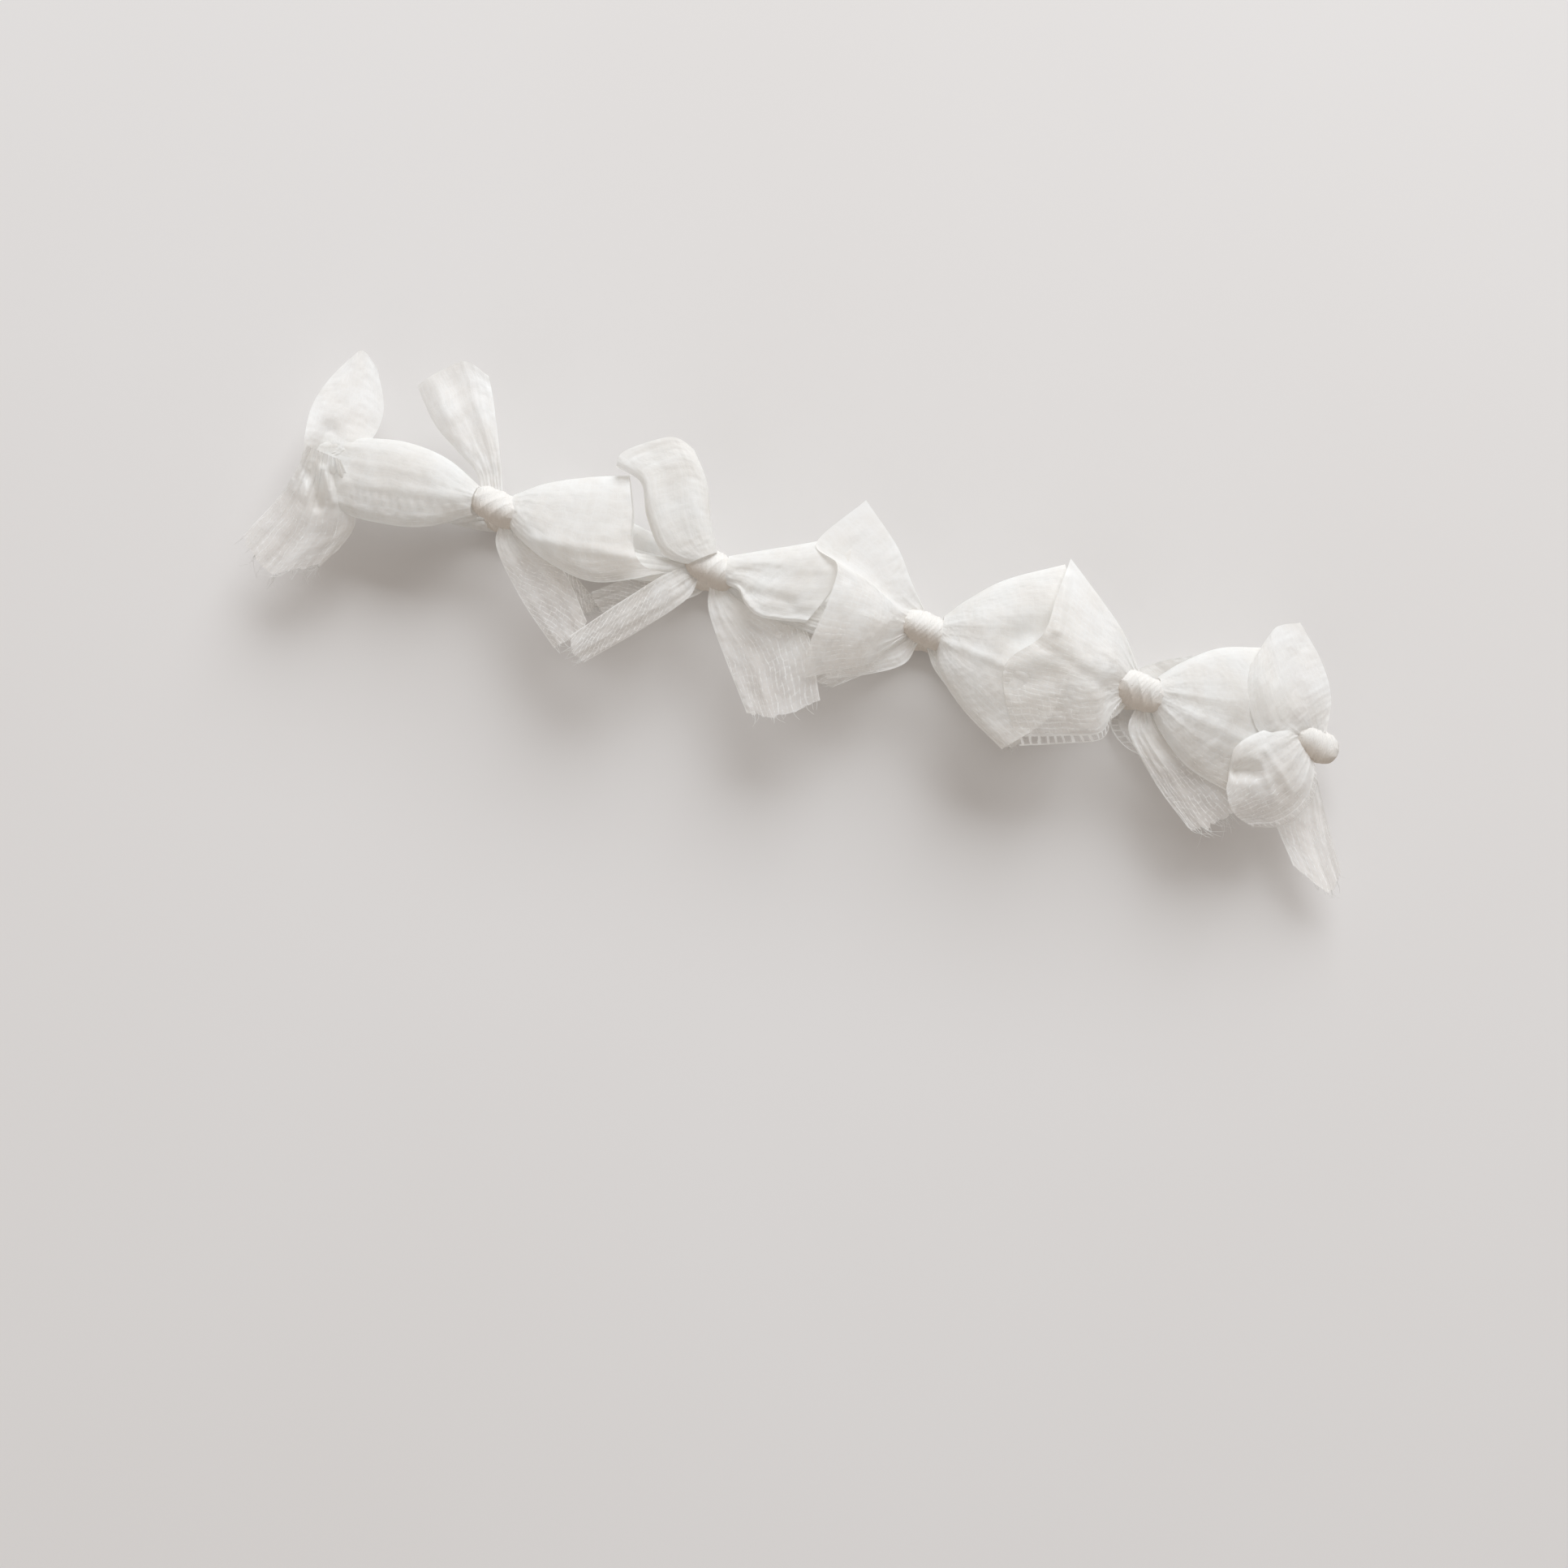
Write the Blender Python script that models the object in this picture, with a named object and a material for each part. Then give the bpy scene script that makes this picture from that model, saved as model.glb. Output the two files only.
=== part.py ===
"""A hair crown made of ten gauze ribbon strips tied end to end with ten knots into one closed loop.

The crown lies flat on a table, as it is stored: a front run of strips directly above a back run, the
loop's axis level. +X runs along the front run, +Y points to the crown's upper edge and +Z points up.
The origin is on the table, under the middle of the back run. Strip N runs from knot N to knot N + 1,
and each strip has its own frame: s along the strip from knot N, v along +Y and w out of the loop.
"""

import math

import bmesh
import bpy
from mathutils import Matrix, Vector

MM = 0.001
COUNT = 10  # strips, and as many knots

# Loop, in millimetres and degrees.
MIDDLE_PITCH = 57.0  # knot to knot along the three middle strips of each run
END_PITCH = 49.0  # knot to knot along the four strips that turn the ends
END_TILT = 11.0  # slope of those four strips while the crown lies flat
WORN_HALF_BEND = 180.0 / COUNT  # half the bend at each knot once the crown is an even ring

# Knots.
KNOT_LENGTH = 15.0
KNOT_THICKNESS = 9.3
KNOT_LEAN = 10.0  # a knot's far end drops towards the lower edge
KNOT_SEGMENTS = 12
KNOT_RINGS = 8

# Gathered spans between the knots.
SPAN_WIDTH = 14.0
SPAN_NECK = 6.2
SPAN_INNER = 3.3  # half thickness towards the loop's middle
SPAN_STAND = 0.25  # how far a span stands proud of the knots on the loop's outer side
SPAN_FLAT = 0.36  # share of a span's length that is flat, where it rests on the table

# Free ends: the ears above the knots, and the drapes and tails below them.
ROOT_WIDTH = 3.4
ROOT_SHIFT = 4.2  # along the strip, from the knot's middle to a free end's root
LAYER = 3.0  # thickness of a free end
TIP_LAYER = 1.8
BEND_ALONG = 0.35  # a free end's bend, as shares of its tip's place
BEND_UP = 0.55
LEAF = ((0, 0, 0.5), (0.2, 0.3, 0.8), (0.45, 0.68, 1), (0.75, 1, 1), (1, 0.8, 0))  # way, width, thickness

GAP = 0.3  # between pieces that touch
ROOT_GAP = 0.5  # between a knot and the nearest corner of a free end's root
SECTION_SIDES = 12
KNOT_RADIUS = KNOT_THICKNESS / 2
SPAN_OUTER = KNOT_RADIUS + SPAN_STAND
END_STRIPS = (1, 5, 6, 10)
TURNED_STARTS = (1, 6)  # strips that start at an end knot, which leans the other way in their frame
PIVOT_AT_START = (8, 9, 10, 1, 2)  # strips that turn on knot N; the others turn on knot N + 1

# Each free end: kind, strip, which of the strip's two knots it leaves, and its tip's place from that
# knot along the strip and along +Y, with its width there.
EAR, DRAPE, TAIL = "ear", "drape", "tail"
START, END = "start", "end"
FREE_ENDS = (
    (EAR, 1, END, -19.0, 28.0, 16.0),
    (DRAPE, 1, END, -30.0, -15.5, 6.0),
    (EAR, 2, END, -22.0, 26.0, 15.0),
    (DRAPE, 2, END, -27.0, -29.0, 9.0),
    (TAIL, 2, START, 28.0, -27.0, 9.0),
    (EAR, 3, END, -24.0, 24.0, 12.0),
    (DRAPE, 3, END, -20.0, -20.0, 15.0),
    (TAIL, 3, START, 26.0, -29.0, 14.0),
    (EAR, 4, END, -27.0, 25.0, 13.0),
    (DRAPE, 4, END, -27.0, -17.0, 12.0),
    (TAIL, 4, START, 28.0, -22.0, 9.0),
    (EAR, 5, END, -21.0, 26.0, 13.0),
    (DRAPE, 5, END, -21.0, -19.5, 11.5),
    (TAIL, 5, START, 24.0, -24.0, 13.0),
    (EAR, 6, END, -25.0, 17.0, 8.0),
    (DRAPE, 6, END, -24.0, -17.0, 11.0),
    (TAIL, 6, START, -7.0, -33.0, 12.0),
    (EAR, 7, END, -26.0, 17.0, 9.0),
    (DRAPE, 7, END, -27.0, -16.0, 9.0),
    (TAIL, 7, START, 26.0, -17.0, 11.0),
    (EAR, 8, END, -27.0, 17.0, 9.0),
    (DRAPE, 8, END, -25.0, -20.0, 12.0),
    (TAIL, 8, START, 19.0, -17.0, 13.0),
    (EAR, 9, END, -27.0, 17.0, 9.0),
    (DRAPE, 9, END, -27.0, -19.0, 9.0),
    (TAIL, 9, START, 26.0, -20.0, 8.0),
    (EAR, 10, END, 4.0, 25.0, 14.0),
    (DRAPE, 10, END, 11.0, -28.0, 22.0),
    (TAIL, 10, START, 29.0, -15.0, 6.0),
)

CREAM = (0.831, 0.791, 0.742, 1.0)
BRIGHT_CREAM = (0.880, 0.855, 0.820, 1.0)
TAN_SHADE = (0.740, 0.680, 0.610, 1.0)


def knot_places():
    """The knots' middles in the X-Z plane in millimetres, from knot 1 at the left end round the loop."""
    rise = END_PITCH * math.sin(math.radians(END_TILT))
    reach = 1.5 * MIDDLE_PITCH + END_PITCH * math.cos(math.radians(END_TILT))
    low, middle, high = SPAN_OUTER, SPAN_OUTER + rise, SPAN_OUTER + 2 * rise
    steps = [(k - 1.5) * MIDDLE_PITCH for k in range(4)]
    front = [(x, high) for x in steps]
    back = [(x, low) for x in reversed(steps)]
    return [(-reach, middle)] + front + [(reach, middle)] + back


PLACES = knot_places()


class Strip:
    """One strip's frame, with its length and the distance from knot N to its pivot."""

    def __init__(self, number):
        start = Vector((PLACES[number - 1][0], 0.0, PLACES[number - 1][1]))
        finish = Vector((PLACES[number % COUNT][0], 0.0, PLACES[number % COUNT][1]))
        along = (finish - start).normalized()
        upper = Vector((0.0, 1.0, 0.0))
        outward = along.cross(upper)
        self.number = number
        self.length = (finish - start).length
        self.pivot = 0.0 if number in PIVOT_AT_START else self.length
        turn = Matrix((along, upper, outward)).transposed().to_4x4()
        self.frame = Matrix.Translation((start + along * self.pivot) * MM) @ turn
        self.empty = None

    def knot_at(self, which):
        return 0.0 if which == START else self.length

    def end_knot(self):
        """Distance along the strip of the end knot it turns at, or None on a middle strip."""
        if self.number not in END_STRIPS:
            return None
        return 0.0 if self.number in TURNED_STARTS else self.length

    def thickness(self, s, outer, inner):
        """Half thicknesses at s, thinned beside an end knot, where two strips lie close together."""
        knot = self.end_knot()
        if knot is None:
            return outer, inner
        away = abs(s - knot)
        room = away * math.tan(math.radians(END_TILT)) - GAP / 2
        open_room = away * math.tan(math.radians(WORN_HALF_BEND)) + GAP
        return min(outer, open_room), min(inner, room)


def material(name, colour, roughness):
    made = bpy.data.materials.new(name)
    made.use_nodes = True
    shader = made.node_tree.nodes["Principled BSDF"]
    shader.inputs["Base Color"].default_value = colour
    shader.inputs["Roughness"].default_value = roughness
    shader.inputs["Metallic"].default_value = 0.0
    return made


def ring(bm, middle, across, half_width, level, outer, inner):
    """One closed section of a loft: a rounded outline with level outer and inner sides."""
    step = math.tau / SECTION_SIDES
    grow = 1.0 / math.cos(step / 2)
    corners = []
    for k in range(SECTION_SIDES):
        angle = (k + 0.5) * step
        side = half_width * grow * math.cos(angle)
        lift = math.sin(angle) * grow * (outer if math.sin(angle) > 0 else inner)
        place = middle + across * side + Vector((0.0, 0.0, level + lift))
        corners.append(bm.verts.new(place * MM))
    return corners


def loft(name, strip, sections, paint):
    """A closed solid through the sections, in the strip's frame with its pivot at the origin."""
    mesh = bpy.data.meshes.new(name)
    bm = bmesh.new()
    shift = Vector((-strip.pivot, 0.0, 0.0))
    rings = [ring(bm, place + shift, across, *size) for place, across, *size in sections]
    for near, far in zip(rings, rings[1:]):
        for k in range(SECTION_SIDES):
            after = (k + 1) % SECTION_SIDES
            bm.faces.new((near[k], near[after], far[after], far[k]))
    bm.faces.new(list(reversed(rings[0])))
    bm.faces.new(rings[-1])
    bmesh.ops.recalc_face_normals(bm, faces=bm.faces)
    bm.to_mesh(mesh)
    bm.free()
    mesh.shade_smooth()
    mesh.set_sharp_from_angle(angle=math.radians(50))
    return place_object(name, mesh, strip, paint)


def place_object(name, mesh, strip, paint):
    mesh.materials.append(paint)
    made = bpy.data.objects.new(name, mesh)
    bpy.data.collections["flower_crown"].objects.link(made)
    made.parent = strip.empty
    return made


def span(strip, paint):
    """The gathered middle of a strip: narrow necks at both knots, flat where it lies on the table."""
    neck = KNOT_LENGTH / 2 + GAP
    swell = (strip.length / 2 - neck) * (1 - SPAN_FLAT)
    stations = (
        (0.0, SPAN_NECK, 0.42),
        (0.3 * swell, 0.55 * SPAN_NECK + 0.45 * SPAN_WIDTH, 0.72),
        (swell, SPAN_WIDTH, 1.0),
    )
    first = [(neck + s, width, full) for s, width, full in stations]
    last = [(strip.length - s, width, full) for s, width, full in reversed(first)]
    sections = []
    for s, width, full in first + last:
        outer, inner = strip.thickness(s, full * SPAN_OUTER, full * SPAN_INNER)
        sections.append((Vector((s, 0, 0)), Vector((0, 1, 0)), width / 2, 0.0, outer, inner))
    return loft(f"ribbon_{strip.number}", strip, sections, paint)


def knot(number, strip, paint):
    """A smooth barrel along the strip, riding on the strip that ends in it."""
    bm = bmesh.new()
    bmesh.ops.create_uvsphere(bm, u_segments=KNOT_SEGMENTS, v_segments=KNOT_RINGS, radius=1.0)
    size = (KNOT_THICKNESS / 2 * MM, KNOT_THICKNESS / 2 * MM, KNOT_LENGTH / 2 * MM)
    bmesh.ops.scale(bm, vec=size, verts=bm.verts)
    lean = Matrix.Rotation(math.radians(90), 3, "Y")
    lean = Matrix.Rotation(math.radians(-KNOT_LEAN), 3, "Z") @ lean
    bmesh.ops.rotate(bm, cent=(0, 0, 0), matrix=lean, verts=bm.verts)
    bmesh.ops.translate(bm, vec=((strip.length - strip.pivot) * MM, 0, 0), verts=bm.verts)
    mesh = bpy.data.meshes.new(f"knot_{number}")
    bm.to_mesh(mesh)
    bm.free()
    mesh.shade_smooth()
    return place_object(f"knot_{number}", mesh, strip, paint)


def knot_edge(x, side, lean):
    """The edge of a leaning knot at x from its middle, on its upper or lower side."""
    share = min(abs(x) / (KNOT_LENGTH / 2), 1.0)
    return side * KNOT_RADIUS * math.sqrt(1 - share**2) - x * math.tan(math.radians(lean))


def seat(root_x, side, bend, lean):
    """The middle of a free end's root section, whose nearest corner is ROOT_GAP off the knot."""
    rough = Vector((root_x, side * KNOT_RADIUS, 0))
    across = Vector((rough.y - bend.y, bend.x - rough.x, 0)).normalized() * (ROOT_WIDTH / 2)
    reach = max(side * (knot_edge(root_x + c.x, side, lean) - c.y) for c in (across, -across))
    return Vector((root_x, side * (reach + ROOT_GAP), 0))


def free_end(kind, strip, which, along, up, tip_width, paint):
    """A leaf-shaped end that leaves a knot's side, bends away from the span and widens to its tip."""
    knot_s = strip.knot_at(which)
    outward = along * (1 if which == START else -1) < 0
    side = math.copysign(1.0, up)
    tip = Vector((along, up, 0))
    bend = Vector((BEND_ALONG * along, BEND_UP * up + side * KNOT_RADIUS / 2, 0))
    turned = which == START and strip.number in TURNED_STARTS
    root = seat(math.copysign(ROOT_SHIFT, along), side, bend, -KNOT_LEAN if turned else KNOT_LEAN)
    level = 0.0 if outward else {EAR: 0.0, DRAPE: LAYER / 2 + GAP, TAIL: -LAYER / 2 - GAP}[kind]
    sections = []
    for share, width, full in LEAF:
        place = root * (1 - share) ** 2 + bend * 2 * share * (1 - share) + tip * share**2
        heading = (bend - root) * (1 - share) + (tip - bend) * share
        across = Vector((-heading.y, heading.x, 0)).normalized()
        half_width = (ROOT_WIDTH * (1 - width) + tip_width * width) / 2
        half_layer = (TIP_LAYER * (1 - full) + LAYER * full) / 2
        s = knot_s + place.x
        outer, inner = strip.thickness(s, half_layer + level, half_layer - level)
        centre, half = (outer - inner) / 2, (outer + inner) / 2
        sections.append((Vector((s, place.y, 0)), across, half_width, centre, half, half))
    return loft(f"{kind}_{strip.number}", strip, sections, paint)


def clear_scene():
    for thing in list(bpy.data.objects):
        bpy.data.objects.remove(thing, do_unlink=True)
    group = bpy.data.collections.new("flower_crown")
    bpy.context.scene.collection.children.link(group)
    return group


def build():
    group = clear_scene()
    body = material("gauze_cream", CREAM, 0.85)
    bright = material("gauze_bright", BRIGHT_CREAM, 0.7)
    shade = material("gauze_shade", TAN_SHADE, 0.9)
    paints = {EAR: bright, DRAPE: body, TAIL: shade}
    strips = {}
    for number in range(1, COUNT + 1):
        strip = strips[number] = Strip(number)
        strip.empty = bpy.data.objects.new(f"strip_{number}_frame", None)
        strip.empty.matrix_world = strip.frame
        strip.empty.empty_display_size = 0.01
        group.objects.link(strip.empty)
        span(strip, body)
        knot(number % COUNT + 1, strip, bright)
    for kind, number, which, along, up, width in FREE_ENDS:
        free_end(kind, strips[number], which, along, up, width, paints[kind])


build()
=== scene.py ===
"""Looks of a hair crown of knotted gauze ribbon: ten strips tied end to end, stored flat.

Each strip has its own frame, taken from the two knots that it runs between: s along the strip, v to the
crown's upper edge and w out of the loop. A sheet of gauze is a patch between four edges in that frame,
with pleats that fan out from its knot, soft folds and crinkles. Lengths in the tables are millimetres.
"""

import functools
import math

import bpy
import numpy as np
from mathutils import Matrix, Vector


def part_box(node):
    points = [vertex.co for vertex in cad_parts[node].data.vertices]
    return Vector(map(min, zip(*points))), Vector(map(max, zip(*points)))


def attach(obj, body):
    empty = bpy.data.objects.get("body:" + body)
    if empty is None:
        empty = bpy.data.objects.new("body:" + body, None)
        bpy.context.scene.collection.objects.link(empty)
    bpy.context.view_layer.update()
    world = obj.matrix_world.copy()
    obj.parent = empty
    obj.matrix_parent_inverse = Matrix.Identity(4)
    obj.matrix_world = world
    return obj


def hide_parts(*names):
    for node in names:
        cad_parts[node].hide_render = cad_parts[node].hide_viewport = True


bl_info = {
    "name": "Knotted Gauze Crown",
    "version": (1, 0, 0),
    "blender": (4, 5, 0),
    "location": "3D View > Sidebar > Gauze Crown",
    "description": "Builds the gauze, knots and stage of a knotted ribbon hair crown",
    "category": "Add Mesh",
}

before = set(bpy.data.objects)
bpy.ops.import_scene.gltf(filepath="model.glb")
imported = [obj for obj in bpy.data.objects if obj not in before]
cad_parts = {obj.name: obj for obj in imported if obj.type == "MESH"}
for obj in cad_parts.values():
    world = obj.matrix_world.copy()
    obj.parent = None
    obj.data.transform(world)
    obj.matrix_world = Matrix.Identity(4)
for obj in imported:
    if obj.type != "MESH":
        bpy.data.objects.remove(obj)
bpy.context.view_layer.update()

MM = 0.001
COUNT = 10  # strips, and knots
FLOOR_CLEAR = 0.15  # the lowest gauze lies this far above the table
ROW_STEP = 0.36  # side of a sheet's grid cells
LEAST_ROWS, LEAST_COLS = 24, 40
LADDER_WIDTH = 1.5  # of the selvedge's ladder, from its outer thread to its inner one
ROLL = (-0.29, 0.79)  # where a rolled sheet starts and ends round its section, in turns
ROLLED_CLOTH = 2.2  # cloth round a rolled sheet, as a multiple of the patch's width
OPEN_CLOTH = 1.1  # and of a sheet that is not rolled
NECK = 3.9  # half thickness of a rolled sheet beside its knot
CORE_ENDS = 4.0  # a strip's roped middle starts and ends this far from its knots' centres
CORE_SAG = 2.6  # how far it hangs below the line between its knots, on the back run
KNOT_RADIUS = 4.3
KNOT_HALF_LENGTH = 7.4
KNOT_LEAN = math.radians(-10)
KNOT_SIZES = {1: 0.74}  # the first knot is tied smaller than the others

# Sheets on the front run. low and high are a sheet's two side edges from the knot outwards and far holds
# the middle points of its far edge, as (s, v, w). Flares and tails are measured from the strip's first
# knot; ears and drapes from its second knot. The other entries are:
#   ply      how dense the gauze is at the knot and at the far end's low and high corners, from 0, one
#            open layer, to 1, many
#   bulge    how far the middle stands out of the loop
#   back     on a sheet rolled into a flat cone, how far its other side stands into the loop
#   tuck     share of the bulge that is lost again towards the far edge
#   lip      how far the low edge is turned up
#   pleat    height of the pleats
#   slant    how far the weave leans
#   rag      how ragged and frayed the far edge is
#   ladder   1 where the low edge has a ladder hem
#   creases  (s, v, s, v, width, height, pitch): a fold along a line, with ruffles of that pitch if any
FLARES = {
    1: dict(low=((-4, -3.5, 1), (1, -9.4, 1.4), (8, -11.6, 1), (18, -12, 1), (31, -10, 1),
                 (43.5, -3.6, 0.4)),
            far=(), high=((-4, 3, 1), (1, 6.2, 1.6), (10, 8.4, 1), (21.4, 10, 1.5), (33, 8.6, 1.5),
                          (43.5, 3.8, 0.5)),
            ply=(0.8, 0.6, 1), bulge=4.6, back=3.5, tuck=0.9,
            creases=((12, -6.9, 25, -5.8, 1.2, 0.16, 2.1), (25, -5.8, 40, -3.4, 1.1, 0.2, 2.9),
                     (9, -4.6, 40, -1.2, 1.6, 0.5, 0), (14, 1.5, 30, 3.5, 3.0, 0.5, 0))),
    2: dict(low=((4, -3.6, 0), (8, -6.5, 0.6), (18, -10.5, 1), (30, -11.5, 1), (46, -4.6, 0.4)),
            far=((40, -4.4, 1.5), (35.8, 1, 2), (34, 8, 2)),
            high=((3.5, 4.2, 0), (10.4, 9, 1), (20.7, 13.6, 1.5), (30.5, 16.8, 1.5)),
            ply=(1, 0.35, 1), bulge=5.2, back=3.5, creases=((12, -5.8, 40, -3.2, 1.6, 0.9, 0),)),
    3: dict(low=((4, -3.4, 0.4), (8, -3.6, 1.6), (11, -6.8, 2.4), (16, -8.8, 2.8), (27, -7, 1)),
            far=((30, 0, 0.6), (33, 9, 0.6)),
            high=((3.5, 4.2, 0), (13, 8.6, 1), (22, 12.8, 1.5), (33, 18.5, 0.6)),
            ply=(1, 0.9, 1), bulge=4.4, back=3.2, lip=1.3, tuck=1.0,
            creases=((9, 1, 25, 5, 3.0, -0.8, 0), (12, -3.5, 22, -3.5, 1.6, -0.9, 0))),
    4: dict(low=((4, -4.2, 0), (6.4, -10, 0.8), (15, -17.4, 0.6), (27, -24.2, 0.2)),
            far=((36, -13, 0), (38, 2, 0.2), (35, 15, 0.4)),
            high=((3.5, 4.4, 0), (8, 10, 1), (16, 17.6, 1.2), (29.5, 25.6, 0.6)),
            ply=(1, 0.5, 1), bulge=5.6, back=4, tuck=1.0,
            creases=((6, -2, 27, -4.5, 1.3, 0.7, 0), (23, 4, 29, 8, 4.0, -2.2, 0))),
    5: dict(low=((4, -3.8, 0), (9, -9.5, 0.6), (18, -15.5, 0.6), (30, -18.5, 0.4)),
            far=((37, -6, 0.4), (38, 6, 0.6)),
            high=((3.5, 4.4, 0), (8.5, 10, 1), (17, 16.2, 1.3), (28, 19.6, 0.8)),
            ply=(1, 0.4, 1), bulge=5.4, back=4, tuck=1.1,
            creases=((12, -3, 29, -5, 1.8, 0.6, 0),)),
}
EARS = {
    1: dict(low=((-4.4, 2, 1), (-8, 7.4, 1.2), (-14.4, 11.4, 1.6), (-21.8, 16.4, 2), (-29.2, 24.6, 2)),
            far=((-23.6, 29.6, 2.4), (-17.6, 33.6, 2.6)),
            high=((0.8, 3.8, 1.4), (-1.2, 10, 2.2), (-4.6, 18.4, 2.6), (-8, 26, 2.6), (-11, 31.6, 2.6)),
            ply=(1, 0.75, 1), bulge=1.8, pleat=0.26,
            creases=((-25, 26, -7, 8, 2.6, 0.8, 0), (-18, 27, -5, 8, 3.4, -0.7, 0))),
    2: dict(low=((-6, -1, 1.4), (-13, 0, 2.2), (-19.4, 8, 2.6), (-23, 15.6, 3.4), (-30, 17.6, 5.2)),
            far=((-29, 21.6, 4.4), (-21.8, 27, 3), (-17.2, 28.8, 2.8)),
            high=((0.5, 4, 1.4), (-3.4, 11.5, 2.4), (-7, 20.5, 2.8), (-12.2, 27.4, 2.6)),
            ply=(1, 0.9, 1), bulge=3.6, back=2.2, pleat=0.35,
            creases=((-22, 23, -7.5, 4, 3.2, -0.6, 0), (-14.5, 24, -4, 6, 3.0, 0.4, 0))),
    3: dict(low=((-4, -2.6, 1.2), (-8.6, -8.6, 2.2), (-12, -12.6, 3), (-17.5, -15.8, 3),
                 (-26.6, -20.6, 2)),
            far=((-27.6, -12, 4.8), (-26, 0, 6), (-26.4, 9, 5.6), (-33, 13.2, 3)),
            high=((-1.5, 4.2, 1), (-7, 10.4, 2.6), (-13, 18, 3.4), (-23.8, 27.2, 2.6)),
            ply=(1, 0.35, 1), bulge=2.6, pleat=0.4,
            creases=((-22, 14, -18, 8, 4.2, -0.7, 0), (-24, -15, -23, 4, 1.5, 0.6, 0))),
    4: dict(low=((-3.6, -2.8, 1.2), (-5.2, -8.5, 1.8), (-6.4, -14.8, 2), (-15.5, -18.6, 2),
                 (-26, -22.2, 1.4)),
            far=((-33, -12, 4.4), (-35.5, -3, 6.4), (-28.8, 6, 7.4), (-27.8, 17, 5.6)),
            high=((-1.5, 4.4, 1), (-8.4, 12.6, 2.6), (-16.6, 19.4, 3.2), (-26.6, 27.2, 2.6)),
            ply=(1, 0.05, 0.85), bulge=2.2, ladder=1.0, pleat=0.45,
            creases=((-26.6, 22, -25.6, 8, 1.5, 1.1, 0), (-24, -3, -31, -6, 3.4, -1.8, 0),
                     (-10, -2, -30, 4, 1.8, -0.9, 0))),
    5: dict(low=((-4, -1, 1.4), (-10, -2.5, 4), (-17, -2, 5.4), (-23, 6, 5.6), (-24, 14.4, 4.6)),
            far=((-22.4, 20.5, 4), (-20, 25.4, 3.4)),
            high=((1.6, 3.6, 3.4), (0, 12.6, 3.4), (-5.6, 21, 3.4), (-13.6, 28.4, 3)),
            ply=(1, 0.8, 0.9), bulge=2.6, pleat=0.4,
            creases=((-17.3, 9.6, -14.6, 0, 1.8, 0.6, 0), (-14, 18, -9, 4, 3.0, -0.6, 0))),
}
DRAPES = {
    1: dict(low=((-4, -3, -0.8), (-10, -4.5, -1.2), (-20, -6, -1.6), (-33, -7.4, -1.6)),
            far=((-35, -5, -1.6),),
            high=((-4.5, 1, -0.8), (-12, 3, -1.2), (-22, 3, -1.6), (-33, 1, -1.6)),
            ply=(1, 0.25, 0.4), bulge=0.4, pleat=0.2),
    2: dict(low=((-2.5, -3.8, 0.6), (-4, -9.6, 1), (-13.4, -20.6, 1.5), (-24.8, -32.2, 1.4)),
            far=((-28, -30.4, 1.6),),
            high=((-4.8, -1.6, 0.8), (-9, -2.8, 1.4), (-18.5, -13.2, 1.8), (-30, -26.6, 1.6)),
            ply=(0.8, 0.12, 0.2), bulge=1.2, slant=0.8, rag=0.5),
    3: dict(low=((-1, -4, -1), (-3, -10, -1.4), (-11, -15, -1.4), (-21, -19, -1.2)), far=(),
            high=((-4.5, -1.5, -0.8), (-10, -5, -1), (-18, -8, -1), (-25, -12, -1)),
            ply=(0.9, 0.2, 0.2), bulge=0.6),
    4: dict(low=((-2, -4, -0.8), (-5, -9, -1), (-14, -15, -1.2), (-26, -19, -1)),
            far=((-30, -15, -1),),
            high=((-4.5, -1, -0.8), (-12, -2, -1), (-20, -4, -1), (-31, -8, -1)),
            ply=(0.9, 0.05, 0.1), bulge=0.6),
    5: dict(low=((0.5, -3.4, 1.4), (2.6, -9, 2.8), (2.2, -16.4, 3), (-3, -23, 3), (-11, -25.6, 3)),
            far=((-17.5, -23.6, 3), (-21, -19, 3.4)),
            high=((-4.6, 2.6, 2.4), (-11, 1.4, 5), (-17.6, -2, 6.4), (-22.5, -7.4, 6), (-21.4, -13.8, 4)),
            ply=(0.8, 0.0, 0.7), bulge=3.0, ladder=0.8, pleat=0.4, lip=0.5,
            creases=((-19.5, -13, -16, -12, 2.0, -3.4, 0), (-15, -6, -5, -14, 1.1, 0.5, 0),
                     (-16, -9, -8, -18, 1.0, 0.5, 0))),
}
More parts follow.
